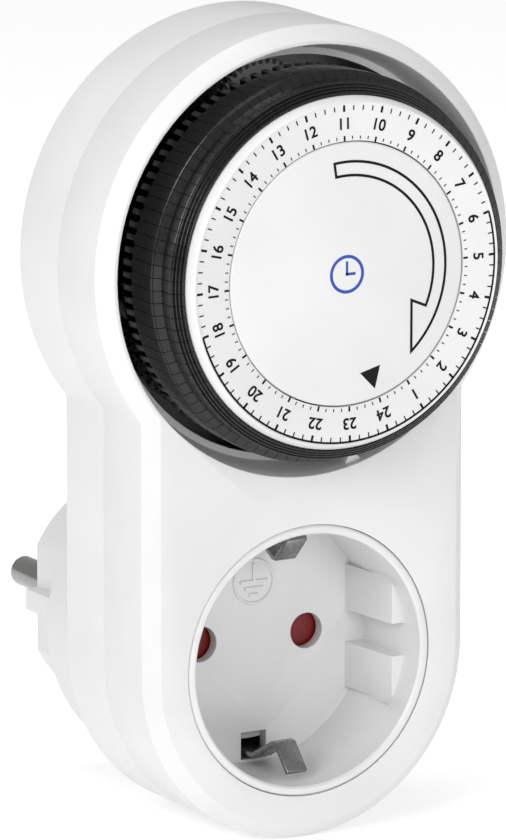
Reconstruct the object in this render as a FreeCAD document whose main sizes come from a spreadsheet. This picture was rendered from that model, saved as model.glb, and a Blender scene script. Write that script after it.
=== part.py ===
import FreeCAD, Part
import Sketcher
import math
import os
import re

# Plug-in mechanical 24-hour socket timer.
#
# Frame: the origin is the centre of the plug's end face, +Y runs back along the plug pins into the
# wall, -Y is the side that faces the room and +Z is up.  A "depth" below is a distance in front of
# the plug's end face, so a depth of 58 lies at Y = -58.  All sizes are millimetres.

DIMENSIONS = {
    # housing outline and shells
    "head_radius": 36.5,
    "dial_height": 63.0,
    "side_radius": 28.5,
    "front_depth": 58.0,
    "parting_depth": 44.0,
    "back_depth": 31.0,
    "pedestal_depth": 18.0,
    "pedestal_radius": 24.5,
    "wall": 2.2,
    "front_bevel": 2.2,
    "back_bevel": 1.0,
    # dial recess in the front cover
    "recess_radius": 33.7,
    "recess_foot_radius": 32.3,
    "recess_floor": 51.5,
    "recess_underside": 50.0,
    "recess_tube_radius": 35.4,
    "dial_opening": 31.2,
    # socket
    "insert_radius": 21.4,
    "insert_bore": 20.0,
    "insert_fit": 0.12,
    "collar_radius": 22.6,
    "collar_depth": 47.0,
    "socket_floor": 40.5,
    "socket_underside": 38.5,
    "pin_offset": 9.5,
    "pin_hole": 2.85,
    "guide_face": 16.5,
    "guide_front": 52.9,
    "guide_draft": 1.3,
    "guide_low": 2.6,
    "guide_high": 9.9,
    "window_centre": 17.3,
    "window_width": 4.5,
    "window_height": 4.4,
    "pivot_radius": 1.5,
    "pivot_end": 35.4,
    # plug
    "plug_radius": 18.6,
    "plug_flat": 16.5,
    "plug_rib": 3.4,
    "plug_wall": 3.0,
    "plug_cavity": 14.8,
    "plug_pin_radius": 2.4,
    "plug_pin_length": 19.0,
    "pin_bore_fit": 0.05,
    "earth_groove": 17.3,
    "earth_groove_width": 4.4,
    # screws that close the housing
    "upper_screw_across": 26.0,
    "upper_screw_height": 80.6,
    "lower_screw_across": 23.6,
    "lower_screw_height": 30.0,
    "screw_boss": 2.6,
    "screw_shank": 1.2,
    "screw_pilot": 1.25,
    "screw_head": 2.1,
    "screw_recess": 2.3,
    "screw_tip": 48.0,
    # dial
    "carrier_radius": 27.35,
    "carrier_inner": 25.2,
    "carrier_back": 47.1,
    "carrier_front": 66.8,
    "carrier_web": 65.2,
    "hub_back": 44.3,
    "hub_front": 66.3,
    "hub_bore": 4.05,
    "hub_radius": 7.0,
    "gear_seat": 5.5,
    "gear_seat_front": 46.3,
    "slot_floor": 26.55,
    "slot_width": 1.1,
    "post_radius": 4.0,
    "post_flange": 6.0,
    "post_flange_front": 43.9,
    "post_front": 66.5,
    "post_stub": 2.5,
    "post_stub_front": 67.6,
    "cap_radius": 20.45,
    "cap_back": 67.9,
    "cap_boss": 5.0,
    "cap_bore_front": 67.75,
    "dial_face": 69.2,
    "ring_inner": 20.65,
    "ring_outer": 27.4,
    "ring_edge": 68.1,
    "ring_land": 26.55,
    "ring_groove": 26.4,
    "ring_rim": 69.45,
    # trippers, 96 to a turn
    "tripper_inner": 27.6,
    "tripper_crown": 67.9,
    "tripper_neck": 29.3,
    "tripper_neck_front": 66.4,
    "tripper_neck_back": 63.7,
    "tripper_skirt": 30.3,
    "tripper_skirt_front": 63.0,
    "tripper_band": 30.5,
    "tripper_band_front": 62.6,
    "tripper_band_back": 60.2,
    "tripper_back": 56.2,
    "tripper_pitch": 3.75,
    "tripper_gap": 0.32,
    "tail_back": 53.3,
    "tail_inner": 28.6,
    "tail_outer": 30.2,
    "tail_width": 1.0,
    "tongue_inner": 26.75,
    "tongue_width": 0.8,
    "tongue_front": 62.0,
    # gear train: module 0.4, motor pinion 10, wheel 40 and 15, dial gear 90
    "gear_module": 0.4,
    "dial_gear_teeth": 90,
    "wheel_pinion_teeth": 15,
    "wheel_teeth": 40,
    "motor_pinion_teeth": 10,
    "wheel_back": 42.0,
    "wheel_front": 43.5,
    "wheel_pinion_front": 46.8,
    "axle_radius": 0.75,
    "axle_fit": 0.05,
    "axle_front": 47.6,
    # mechanism plate and motor
    "plate_radius": 28.0,
    "plate_back": 40.0,
    "plate_front": 41.5,
    "standoff_radius": 2.4,
    "standoff_across": 22.0,
    "standoff_drop": 8.0,
    "standoff_right": 14.0,
    "standoff_rise": 21.0,
    "motor_left": 6.0,
    "motor_rise": 13.0,
    "motor_radius": 15.0,
    "motor_back": 33.4,
    "motor_front": 39.1,
    "motor_skin": 0.6,
    "coil_inner": 8.0,
    "coil_outer": 14.0,
    "coil_back": 34.4,
    "coil_front": 38.6,
    "rotor_radius": 7.5,
    "rotor_back": 34.6,
    "rotor_front": 38.4,
    "shaft_radius": 1.0,
    "shaft_back": 34.2,
    "shaft_front": 44.0,
    "shaft_hole": 1.4,
    # switch, lever and bracket, laid out below the dial on the index line
    "index_angle": 14.375,
    "switch_half_length": 10.0,
    "switch_top": 30.5,
    "switch_bottom": 37.0,
    "switch_back": 36.2,
    "switch_front": 46.0,
    "plunger_line": 33.75,
    "plunger_half_width": 1.5,
    "plunger_half_height": 0.75,
    "plunger_fit": 0.1,
    "plunger_back": 44.0,
    "plunger_front": 48.3,
    "plunger_well": 42.0,
    "terminal_back": 34.0,
    "terminal_spacing": 8.5,
    "lever_pivot": 39.0,
    "lever_pivot_depth": 49.1,
    "lever_eye": 1.6,
    "lever_bore": 0.85,
    "lever_back": 48.5,
    "lever_front": 49.7,
    "lever_width": 5.0,
    "finger_width": 1.6,
    "finger_front": 52.7,
    "lever_pin": 0.8,
    "lever_pin_half_length": 4.6,
    "bracket_left": 4.8,
    "bracket_right": 11.6,
    "bracket_bottom": 40.8,
    "bracket_top": 37.1,
    "bracket_back": 34.3,
    "bracket_front": 46.0,
    "ear_inner": 3.2,
    "ear_outer": 4.6,
    "ear_front": 50.9,
    # shutter and its retainer
    "shutter_back": 36.9,
    "shutter_front": 38.1,
    "shutter_hub": 4.2,
    "shutter_radius": 13.2,
    "shutter_half_angle": 21.0,
    "shutter_bore": 1.55,
    "shutter_spring_well": 3.2,
    "shutter_well_front": 37.7,
    "retainer_radius": 16.6,
    "retainer_rim": 15.2,
    "retainer_back": 35.2,
    "retainer_front": 36.6,
    "retainer_hole": 3.1,
    # contacts and strips
    "contact_inner": 2.6,
    "contact_outer": 3.3,
    "contact_back": 21.3,
    "contact_front": 34.8,
    "contact_slot": 1.2,
    "strip": 0.8,
    "strap_width": 3.6,
    "plug_strip_width": 4.0,
    # pins, strips and small hardware
    "pin_neck": 2.2,
    "pin_neck_reach": 0.4,
    "pin_nose": 1.6,
    "pin_nose_inset": 1.2,
    "pin_head": 3.3,
    "pin_head_height": 1.5,
    "pin_stub": 1.5,
    "pin_stub_height": 2.0,
    "busbar_half": 2.5,
    "busbar_heel": 3.0,
    "busbar_eye": 1.55,
    "neutral_riser": 3.4,
    "neutral_riser_front": 30.0,
    "line_riser": 5.8,
    "line_riser_front": 34.0,
    "line_reach": 31.0,
    "switched_near": 14.4,
    "switched_far": 17.4,
    "switched_top": 33.5,
    "switched_foot": 2.0,
    "link_height": 10.0,
    "screw_sink": 0.4,
    "screw_slot_half": 1.6,
    "screw_slot_width": 0.5,
    "screw_slot_floor": 1.1,
    "plate_screw_hole": 1.1,
    "plate_screw_head": 2.0,
    "plate_screw_shank": 1.0,
    "plate_screw_height": 1.2,
    "wing_root_half": 1.6,
    "pivot_spring_radius": 2.4,
    "pivot_spring_wire": 0.25,
    "pivot_spring_depth": 37.25,
    "return_spring_radius": 1.35,
    "return_spring_wire": 0.22,
    "return_spring_across": 2.86,
}

# Height of the reduction wheel's axle above the dial's axis.
WHEEL_CENTRE = "gear_module * (dial_gear_teeth + wheel_pinion_teeth) / 2"

# Name, place across and height of the mechanism plate's three standoffs.
STANDOFFS = (("left_standoff", "-standoff_across", "dial_height - standoff_drop"),
             ("right_standoff", "standoff_across", "dial_height - standoff_drop"),
             ("top_standoff", "standoff_right", "dial_height + standoff_rise"))

# Middle line of the earth strap's upper half as (depth, height), from its clip's lip inwards.
EARTH_CLIP = ((54.0, 18.7), (52.6, 17.2), (50.3, 14.9), (49.4, 14.9), (43.0, 18.2), (34.6, 18.2))

doc = FreeCAD.newDocument("SocketTimer")
sheet = doc.addObject("Spreadsheet::Sheet", "Sizes")
for row, (alias, number) in enumerate(DIMENSIONS.items(), start=1):
    sheet.set(f"A{row}", alias)
    sheet.set(f"B{row}", str(number))
    sheet.setAlias(f"B{row}", alias)
doc.recompute()


# ---------------------------------------------------------------- helpers

def cells(formula):
    """Turn a formula over size names into one over the spreadsheet's cells."""
    def cell(match):
        word = match.group(0)
        return f"Sizes.{word}" if word in DIMENSIONS else word
    return re.sub(r"[a-z][a-z_]*", cell, formula)


def size(formula):
    """Read a formula's present value from the spreadsheet."""
    return float(sheet.evalExpression(cells(formula)))


def bind(target, **formulas):
    """Bind properties, with __ for a dot, to formulas over the sheet's cells."""
    for name, formula in formulas.items():
        target.setExpression(name.replace("__", "."), cells(formula))


def new_body(name, on_dial_axis=False, turn=0.0):
    """Add a body; one on the dial axis sits at the dial's height, turned about Y."""
    body = doc.addObject("PartDesign::Body", name)
    body.Label = name
    place_on_axis(body, on_dial_axis, turn)
    return body


def place_on_axis(item, on_dial_axis, turn=0.0):
    """Place an object on the dial axis, turned about Y by an angle in degrees."""
    if on_dial_axis:
        base = FreeCAD.Vector(0, 0, size("dial_height"))
        item.Placement = FreeCAD.Placement(base, FreeCAD.Rotation(FreeCAD.Vector(0, 1, 0), turn))
        bind(item, Placement__Base__z="dial_height")


def new_sketch(body, name, role="XZ_Plane", offset="0"):
    """Attach a sketch to one of the body's own planes, moved along the plane's normal."""
    sketch = body.newObject("Sketcher::SketchObject", name)
    plane = next(feature for feature in body.Origin.OriginFeatures if feature.Role == role)
    sketch.AttachmentSupport = [(plane, "")]
    sketch.MapMode = "FlatFace"
    sketch.setExpression("AttachmentOffset.Base.z", cells(offset))
    return sketch


def pin_point(sketch, geometry, end, across, up):
    """Hold one point of a sketch at two formulas measured from its origin."""
    for kind, axis, formula in (("DistanceX", -2, across), ("DistanceY", -1, up)):
        number = size(formula)
        if abs(number) < 1e-9:
            sketch.addConstraint(Sketcher.Constraint("PointOnObject", geometry, end, axis))
            continue
        index = sketch.addConstraint(Sketcher.Constraint(kind, -1, 1, geometry, end, number))
        sketch.setExpression(f"Constraints[{index}]", cells(formula))


def draw_polygon(sketch, points):
    """Draw a closed polygon through (across, up) formulas, every corner bound to the sheet."""
    corners = [FreeCAD.Vector(size(across), size(up), 0) for across, up in points]
    first = sketch.GeometryCount
    total = len(points)
    for index, corner in enumerate(corners):
        sketch.addGeometry(Part.LineSegment(corner, corners[(index + 1) % total]), False)
    for index in range(total):
        following = first + (index + 1) % total
        sketch.addConstraint(Sketcher.Constraint("Coincident", first + index, 2, following, 1))
    for index, (across, up) in enumerate(points):
        pin_point(sketch, first + index, 1, across, up)


def draw_box(sketch, left, right, bottom, top):
    """Draw a rectangle between four formulas."""
    draw_polygon(sketch, [(left, bottom), (right, bottom), (right, top), (left, top)])


def draw_circle(sketch, across, up, radius):
    """Draw a circle at two formulas with a bound radius."""
    centre = FreeCAD.Vector(size(across), size(up), 0)
    circle = Part.Circle(centre, FreeCAD.Vector(0, 0, 1), size(radius))
    index = sketch.addGeometry(circle, False)
    pin_point(sketch, index, 3, across, up)
    datum = sketch.addConstraint(Sketcher.Constraint("Radius", index, size(radius)))
    sketch.setExpression(f"Constraints[{datum}]", cells(radius))


def draw_case(sketch, inset):
    """Draw the housing's outline, a round head on a narrower body with a round foot."""
    radius = f"side_radius - {inset}"
    head = f"head_radius - {inset}"
    side = size(radius)
    reach = size(head)
    drop = math.sqrt(reach ** 2 - side ** 2)
    centre = FreeCAD.Vector(0, size("dial_height"), 0)
    up = FreeCAD.Vector(0, 0, 1)
    tilt = math.asin(drop / reach)
    shoulder = centre.y - drop
    foot = Part.Circle(FreeCAD.Vector(0, 0, 0), up, side)
    sketch.addGeometry([
        Part.ArcOfCircle(Part.Circle(centre, up, reach), -tilt, math.pi + tilt),
        Part.LineSegment(FreeCAD.Vector(-side, shoulder, 0), FreeCAD.Vector(-side, 0, 0)),
        Part.ArcOfCircle(foot, math.pi, 2 * math.pi),
        Part.LineSegment(FreeCAD.Vector(side, 0, 0), FreeCAD.Vector(side, shoulder, 0)),
    ], False)
    for joint in ((0, 2, 1, 1), (1, 2, 2, 1), (2, 2, 3, 1), (3, 2, 0, 1)):
        sketch.addConstraint(Sketcher.Constraint("Coincident", *joint))
    sketch.addConstraint(Sketcher.Constraint("Coincident", 2, 3, -1, 1))
    sketch.addConstraint(Sketcher.Constraint("PointOnObject", 0, 3, -2))
    sketch.addConstraint(Sketcher.Constraint("PointOnObject", 2, 1, -1))
    sketch.addConstraint(Sketcher.Constraint("PointOnObject", 2, 2, -1))
    sketch.addConstraint(Sketcher.Constraint("Vertical", 1))
    sketch.addConstraint(Sketcher.Constraint("Vertical", 3))
    for kind, where, formula in (("Radius", (2,), radius), ("Radius", (0,), head),
                                 ("DistanceY", (-1, 1, 0, 3), "dial_height")):
        datum = sketch.addConstraint(Sketcher.Constraint(kind, *where, size(formula)))
        sketch.setExpression(f"Constraints[{datum}]", cells(formula))


def extrude(body, name, sketch, length, kind="Pad", **options):
    """Pad or pocket a sketch by a formula."""
    feature = body.newObject(f"PartDesign::{kind}", name)
    feature.Profile = sketch
    for option, setting in options.items():
        setattr(feature, option, setting)
    if length is not None:
        bind(feature, Length=length)
    sketch.Visibility = False
    return feature


def prism(body, name, back, front, draw, *sizes, kind="Pad"):
    """Pad or pocket a drawing between two depths: pads grow forwards, pockets cut backwards."""
    start = back if kind == "Pad" else front
    sketch = new_sketch(body, f"{name}_sketch", "XZ_Plane", start)
    draw(sketch, *sizes)
    return extrude(body, name, sketch, f"{front} - ({back})", kind)


def turned(body, name, points, kind="Revolution", height="0", angle=360.0, midplane=False):
    """Turn a (radius, depth) outline about a line along Y at a height above the origin."""
    sketch = new_sketch(body, f"{name}_sketch", "XY_Plane", height)
    draw_polygon(sketch, [(radius, f"-({depth})") for radius, depth in points])
    feature = body.newObject(f"PartDesign::{kind}", name)
    feature.Profile = sketch
    feature.ReferenceAxis = (sketch, ["V_Axis"])
    feature.Angle = angle
    feature.Midplane = midplane
    sketch.Visibility = False
    return feature


def tube(body, name, back, front, outer, inner=None):
    """Turn a plain disc or tube about the Y axis."""
    hole = inner or "0"
    return turned(body, name, [(hole, back), (outer, back), (outer, front), (hole, front)])


def polar(body, name, originals, angle, count):
    """Repeat features about the body's own Y axis and make the pattern the body's tip."""
    pattern = body.newObject("PartDesign::PolarPattern", name)
    pattern.Originals = originals
    axis = next(feature for feature in body.Origin.OriginFeatures if feature.Role == "Y_Axis")
    pattern.Axis = (axis, [""])
    pattern.Angle = angle
    pattern.Occurrences = count
    body.Tip = pattern
    return pattern


def primitive(kind, name, **formulas):
    """Add a Part primitive whose sizes and place are bound to the sheet."""
    item = doc.addObject(f"Part::{kind}", name)
    bind(item, **formulas)
    return item


def rod(name, across, up, back, front, radius):
    """Add a cylinder along Y between two depths."""
    item = primitive("Cylinder", name, Radius=radius, Height=f"{front} - ({back})")
    turn = FreeCAD.Rotation(FreeCAD.Vector(1, 0, 0), 90)
    item.Placement = FreeCAD.Placement(FreeCAD.Vector(0, 0, 0), turn)
    bind(item, Placement__Base__x=across, Placement__Base__y=f"-({back})", Placement__Base__z=up)
    return item


def block(name, left, right, bottom, top, back, front):
    """Add a box between six formulas."""
    item = primitive("Box", name, Length=f"{right} - ({left})", Width=f"{front} - ({back})",
                     Height=f"{top} - ({bottom})")
    bind(item, Placement__Base__x=left, Placement__Base__y=f"-({front})", Placement__Base__z=bottom)
    return item


def gather(name, items):
    """Join separate primitives into one labelled group of solids."""
    group = doc.addObject("Part::Compound", name)
    group.Label = name
    group.Links = items
    return group


def gear_solid(teeth, back, front, bore, first_tooth):
    """Cut a spur gear with slim flanks; first_tooth is a tooth's angle from +X towards +Z."""
    module = size("gear_module")
    pitch_radius = module * teeth / 2
    root = pitch_radius - 1.2 * module
    tip = pitch_radius + 0.8 * module
    step = 2 * math.pi / teeth
    flank = ((root, -0.27), (tip, -0.1), (tip, 0.1), (root, 0.27))
    corners = []
    for tooth in range(teeth):
        middle = math.radians(first_tooth) + tooth * step
        for radius, share in flank:
            angle = middle + share * step
            corners.append(FreeCAD.Vector(radius * math.cos(angle), -back, radius * math.sin(angle)))
    outline = Part.makePolygon(corners + corners[:1])
    disc = Part.Face(outline).extrude(FreeCAD.Vector(0, back - front, 0))
    hole_base = FreeCAD.Vector(0, -front - 1, 0)
    hole = Part.makeCylinder(bore, front - back + 2, hole_base, FreeCAD.Vector(0, 1, 0))
    return disc.cut(hole) if bore else disc


def strip_solid(path, thickness, width):
    """Bend a flat strip along a (depth, height) path in the plane X = 0."""
    points = [FreeCAD.Vector(0, -depth, height) for depth, height in path]
    across = FreeCAD.Vector(1, 0, 0)
    left = []
    right = []
    for index, point in enumerate(points):
        before = points[max(index - 1, 0)]
        after = points[min(index + 1, len(points) - 1)]
        runs = [run.normalize() for run in (point - before, after - point) if run.Length > 0]
        normals = [run.cross(across) for run in runs]
        middle = FreeCAD.Vector(0, 0, 0)
        for normal in normals:
            middle = middle + normal
        middle.normalize()
        reach = thickness / 2 / middle.dot(normals[0])
        left.append(point + middle * reach)
        right.append(point - middle * reach)
    outline = left + right[::-1]
    face = Part.Face(Part.makePolygon(outline + outline[:1]))
    solid = face.extrude(across * width)
    solid.translate(across * (-width / 2))
    return solid


def shaped(name, solid):
    """Add a piece whose shape is worked out in code."""
    item = doc.addObject("Part::Feature", name)
    item.Label = name
    item.Shape = solid
    return item


NODES = []


def node(item):
    """Keep an object as one of the timer's separate pieces."""
    NODES.append(item)
    return item


# ---------------------------------------------------------------- housing

def case_blank(body, flat_end, bevel_start, bevel_end, inset):
    """Build the housing's solid outline: a round head, a round foot and straight sides between.

    The outline runs from flat_end to bevel_start at full size and slopes in by the inset at
    bevel_end."""
    for name, radius, height in (("head", "head_radius", "dial_height"),
                                 ("foot", "side_radius", "0")):
        turned(body, f"{name}_blank", [
            ("0", flat_end), (radius, flat_end), (radius, bevel_start),
            (f"{radius} - {inset}", bevel_end), ("0", bevel_end)], height=height)
    sketch = new_sketch(body, "sides_sketch", "XY_Plane")
    draw_polygon(sketch, [
        ("-side_radius", f"-({flat_end})"), ("-side_radius", f"-({bevel_start})"),
        (f"-side_radius + {inset}", f"-({bevel_end})"),
        (f"side_radius - {inset}", f"-({bevel_end})"),
        ("side_radius", f"-({bevel_start})"), ("side_radius", f"-({flat_end})")])
    extrude(body, "sides_blank", sketch, "dial_height")


def front_cover():
    """Front shell: bevelled outline, dial recess, round hole and collar for the socket insert."""
    body = new_body("front_cover")
    case_blank(body, "parting_depth", "front_depth - front_bevel", "front_depth", "front_bevel")
    prism(body, "hollow", "parting_depth", "front_depth - wall", draw_case, "wall", kind="Pocket")
    bosses = (("upper", "upper_screw_across", "upper_screw_height", "recess_underside"),
              ("lower", "lower_screw_across", "lower_screw_height", "front_depth - wall"))
    ring = new_sketch(body, "recess_ring_sketch", "XZ_Plane", "recess_underside")
    draw_circle(ring, "0", "dial_height", "recess_tube_radius")
    extrude(body, "recess_ring", ring, "front_depth - wall / 2 - recess_underside")
    for level, across, height, reach in bosses:
        for side, sign in (("left", "-"), ("right", "")):
            prism(body, f"{level}_{side}_boss", "parting_depth", reach, draw_circle,
                  f"{sign}{across}", height, "screw_boss")
            prism(body, f"{level}_{side}_pilot", "parting_depth", "screw_tip + 1", draw_circle,
                  f"{sign}{across}", height, "screw_pilot", kind="Pocket")
    prism(body, "collar", "collar_depth", "front_depth - wall / 2", draw_circle,
          "0", "0", "collar_radius")
    prism(body, "socket_hole", "collar_depth", "front_depth", draw_circle,
          "0", "0", "insert_radius + insert_fit", kind="Pocket")
    turned(body, "dial_recess", [
        ("0", "recess_underside - 1"), ("dial_opening", "recess_underside - 1"),
        ("dial_opening", "recess_floor"), ("recess_foot_radius", "recess_floor"),
        ("recess_radius", "front_depth"), ("recess_radius", "front_depth + 1"),
        ("0", "front_depth + 1")], kind="Groove", height="dial_height")
    return body


def rear_cover():
    """Rear shell with the round pedestal and the plug's insulating body."""
    body = new_body("rear_cover")
    case_blank(body, "parting_depth", "back_depth + back_bevel", "back_depth", "back_bevel")
    prism(body, "hollow", "back_depth + wall", "parting_depth", draw_case, "wall", kind="Pocket")
    prism(body, "pedestal", "pedestal_depth", "back_depth + wall / 2", draw_circle,
          "0", "0", "pedestal_radius")
    prism(body, "plug_body", "0", "pedestal_depth + wall / 2", draw_circle,
          "0", "0", "plug_radius")
    for level in ("upper", "lower"):
        for side, sign in (("left", "-"), ("right", "")):
            spot = (f"{sign}{level}_screw_across", f"{level}_screw_height")
            prism(body, f"{level}_{side}_boss", "back_depth + wall / 2", "parting_depth",
                  draw_circle, *spot, "screw_boss")
            prism(body, f"{level}_{side}_hole", "back_depth", "parting_depth",
                  draw_circle, *spot, "screw_shank + 0.15", kind="Pocket")
            prism(body, f"{level}_{side}_recess", "back_depth", "back_depth + wall",
                  draw_circle, *spot, "screw_recess", kind="Pocket")
    for name, across, up in STANDOFFS:
        prism(body, name, "back_depth + wall / 2", "plate_back", draw_circle,
              across, up, "standoff_radius")
    prism(body, "pedestal_hollow", "pedestal_depth + wall", "back_depth + wall", draw_circle,
          "0", "0", "pedestal_radius - wall", kind="Pocket")
    prism(body, "plug_hollow", "plug_wall", "pedestal_depth + wall", draw_circle,
          "0", "0", "plug_cavity", kind="Pocket")
    for side, sign in (("left", "-"), ("right", "")):
        prism(body, f"{side}_pin_hole", "0", "plug_wall", draw_circle,
              f"{sign}pin_offset", "0", "plug_pin_radius + pin_bore_fit", kind="Pocket")
        for half, low, high in (("low", "-plug_radius", "-plug_rib / 2"),
                                ("high", "plug_rib / 2", "plug_radius")):
            near, far = ("-plug_radius - 1", "-plug_flat")
            if side == "right":
                near, far = ("plug_flat", "plug_radius + 1")
            prism(body, f"{side}_{half}_flat", "0", "pedestal_depth", draw_box,
                  near, far, low, high, kind="Pocket")
    half = "earth_groove_width / 2"
    for end, low, high in (("bottom", "-plug_radius - 1", "-earth_groove"),
                           ("top", "earth_groove", "plug_radius + 1")):
        prism(body, f"{end}_earth_groove", "0", "pedestal_depth + wall", draw_box,
              f"-{half}", half, low, high, kind="Pocket")
    return body


def housing_screws():
    """Four pan-head screws that close the housing from behind."""
    screws = []
    for level in ("upper", "lower"):
        for side, sign in (("left", "-"), ("right", "")):
            spot = (f"{sign}{level}_screw_across", f"{level}_screw_height")
            tag = f"{level}_{side}_screw"
            head = rod(f"{tag}_head", *spot, "back_depth + screw_sink", "back_depth + wall",
                       "screw_head")
            shank = rod(f"{tag}_shank", *spot, "back_depth + wall - 0.2", "screw_tip",
                        "screw_shank")
            slot = block(f"{tag}_slot", f"{spot[0]} - screw_slot_half",
                         f"{spot[0]} + screw_slot_half", f"{spot[1]} - screw_slot_width / 2",
                         f"{spot[1]} + screw_slot_width / 2", "back_depth",
                         "back_depth + screw_slot_floor")
            screw = doc.addObject("Part::MultiFuse", f"{tag}_blank")
            screw.Shapes = [head, shank]
            slotted = doc.addObject("Part::Cut", tag)
            slotted.Base = screw
            slotted.Tool = slot
            screws.append(slotted)
    return gather("housing_screws", screws)


def socket_insert():
    """Socket cup with pin holes, earth windows, side guides and the shutter's pivot."""
    body = new_body("socket_insert")
    turned(body, "cup", [
        ("0", "pivot_end"), ("pivot_radius", "pivot_end"), ("pivot_radius", "socket_underside"),
        ("insert_radius", "socket_underside"), ("insert_radius", "front_depth - 0.3"),
        ("insert_radius - 0.3", "front_depth"), ("insert_bore + 0.35", "front_depth"),
        ("insert_bore", "front_depth - 0.35"), ("insert_bore", "socket_floor"),
        ("0", "socket_floor")])
    for side, sign in (("left", "-"), ("right", "")):
        for half, flip in (("low", "-"), ("high", "")):
            sketch = new_sketch(body, f"{side}_{half}_guide_sketch", "XZ_Plane", "socket_floor")
            draw_polygon(sketch, [
                (f"{sign}guide_face", f"{flip}guide_low"),
                (f"{sign}(insert_bore + 0.5)", f"{flip}guide_low"),
                (f"{sign}(insert_bore - 1.75)", f"{flip}guide_high"),
                (f"{sign}guide_face", f"{flip}guide_high")])
            extrude(body, f"{side}_{half}_guide", sketch, "guide_front - socket_floor")
        sketch = new_sketch(body, f"{side}_draft_sketch", "XY_Plane")
        inside = f"{sign}(guide_face - 1)"
        draw_polygon(sketch, [
            (f"{sign}guide_face", "-socket_floor"),
            (f"{sign}(guide_face + guide_draft)", "-guide_front"),
            (inside, "-guide_front"), (inside, "-socket_floor")])
        extrude(body, f"{side}_draft", sketch, "2 * guide_high + 1", "Pocket", Midplane=True)
    for side, sign in (("left", "-"), ("right", "")):
        prism(body, f"{side}_pin_hole", "socket_underside", "socket_floor", draw_circle,
              f"{sign}pin_offset", "0", "pin_hole", kind="Pocket")
    for end, sign in (("bottom", "-"), ("top", "")):
        middle = f"{sign}window_centre"
        prism(body, f"{end}_window", "socket_underside", "socket_floor", draw_box,
              "-window_width / 2", "window_width / 2",
              f"{middle} - window_height / 2", f"{middle} + window_height / 2", kind="Pocket")
    return body


# ---------------------------------------------------------------- pins, contacts and strips

def plug_pin(name, side):
    """One round plug pin with its neck, head and riveting stub."""
    body = new_body(name)
    body.Placement.Base = FreeCAD.Vector(size(f"{side}pin_offset"), 0, 0)
    bind(body, Placement__Base__x=f"{side}pin_offset")
    tip = "-plug_pin_length"
    head = "plug_wall + pin_head_height"
    turned(body, "pin", [
        ("0", tip), ("plug_pin_radius - pin_nose_inset", tip),
        ("plug_pin_radius", f"{tip} + pin_nose"), ("plug_pin_radius", "-pin_neck_reach"),
        ("pin_neck", "-pin_neck_reach"), ("pin_neck", "plug_wall"), ("pin_head", "plug_wall"),
        ("pin_head", head), ("pin_stub", head), ("pin_stub", f"{head} + pin_stub_height"),
        ("0", f"{head} + pin_stub_height")])
    return body


def socket_contact(name, side):
    """Split spring sleeve that grips one pin of an inserted plug."""
    body = new_body(name)
    body.Placement.Base = FreeCAD.Vector(size(f"{side}pin_offset"), 0, 0)
    bind(body, Placement__Base__x=f"{side}pin_offset")
    tube(body, "sleeve", "contact_back", "contact_front", "contact_outer", "contact_inner")
    prism(body, "slot", "contact_back", "contact_front", draw_box,
          "-contact_slot / 2", "contact_slot / 2", "-contact_outer - 1", "0", kind="Pocket")
    return body


def busbar(name, side, riser, riser_front, reach):
    """Strip from a plug pin's stub forwards, and up across the back wall where it has a reach."""
    body = new_body(name)
    body.Placement.Base = FreeCAD.Vector(size(f"{side}pin_offset"), 0, 0)
    bind(body, Placement__Base__x=f"{side}pin_offset")
    foot = "plug_wall + pin_head_height"
    sides = ("-busbar_half", "busbar_half")
    prism(body, "foot", foot, f"{foot} + strip", draw_box, *sides, "-busbar_heel",
          f"{riser} + strip")
    prism(body, "eye", foot, f"{foot} + strip", draw_circle, "0", "0", "busbar_eye",
          kind="Pocket")
    prism(body, "riser", foot, riser_front, draw_box, *sides, riser, f"{riser} + strip")
    if reach:
        prism(body, "upright", f"{riser_front} - strip + 0.1", riser_front, draw_box,
              *sides, riser, reach)
    return body


def switched_busbar():
    """Strip from the switch's output terminal down to the line contact of the socket."""
    body = new_body("switched_busbar")
    sketch = new_sketch(body, "outline", "XZ_Plane", "back_depth + wall + 0.1")
    inner = "pin_offset + contact_outer + 0.1"
    draw_polygon(sketch, [
        ("switched_near", "switched_top"), ("switched_near", "switched_foot"),
        (inner, "switched_foot"), (inner, "-switched_foot"),
        ("switched_far", "-switched_foot"), ("switched_far", "switched_top")])
    extrude(body, "plate", sketch, "strip - 0.1")
    return body


def earth_strap():
    """Bent strip with a sprung clip at each end that touches a plug's earth contacts."""
    path = [*EARTH_CLIP, *((depth, -height) for depth, height in reversed(EARTH_CLIP))]
    return shaped("earth_strap", strip_solid(path, size("strip"), size("strap_width")))


def plug_earth_contact():
    """Bent strip whose sides lie in the plug's two grooves, with a tab to the earth strap."""
    side = size("earth_groove") + 0.1 + size("strip") / 2
    cross = size("pedestal_depth + wall") + size("strip") / 2 + 0.1
    path = [(1.0, side), (cross, side), (cross, -side), (1.0, -side)]
    solid = strip_solid(path, size("strip"), size("plug_strip_width"))
    link_front = EARTH_CLIP[-1][0] - size("strip") / 2
    link = Part.makeBox(size("strap_width"), link_front - cross, size("strip"),
                        FreeCAD.Vector(-size("strap_width") / 2, -link_front, size("link_height")))
    return shaped("plug_earth_contact", solid.fuse(link).removeSplitter())


# ---------------------------------------------------------------- shutter

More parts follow.
